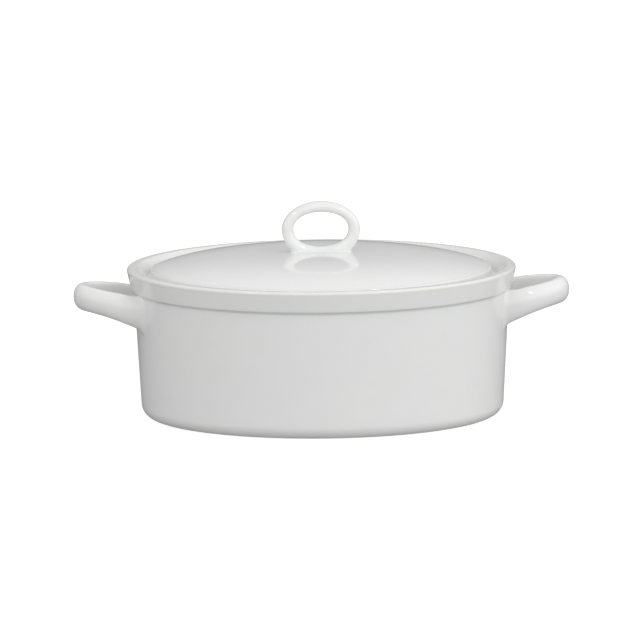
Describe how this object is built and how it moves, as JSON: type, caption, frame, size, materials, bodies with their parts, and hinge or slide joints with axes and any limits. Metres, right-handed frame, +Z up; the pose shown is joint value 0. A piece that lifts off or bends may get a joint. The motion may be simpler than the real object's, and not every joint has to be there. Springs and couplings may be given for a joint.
{
  "type": "covered casserole dish",
  "caption": "Round white porcelain casserole with a stepped collar, two loop handles and a domed lid with a ring knob that lifts off its inner ledge.",
  "frame": {"origin": "middle of the foot ring's flat underside, on the surface the dish stands on", "axes": "+Z up along the dish's axis of revolution, +X towards the right handle, +Y away from a person facing the dish"},
  "size_m": [0.3058, 0.2397, 0.1324],
  "materials": {
    "glazed_porcelain": "glossy"
  },
  "bodies": {
    "dish": {"dish_body": "glazed_porcelain", "left_handle": "glazed_porcelain", "right_handle": "glazed_porcelain"},
    "cover": {"lid": "glazed_porcelain", "lid_knob": "glazed_porcelain"}
  },
  "joints": [
    {"name": "lid_lift", "type": "slide", "parent": "dish", "child": "cover", "axis": [0, 0, 1], "range_m": [0, 0.12]}
  ]
}
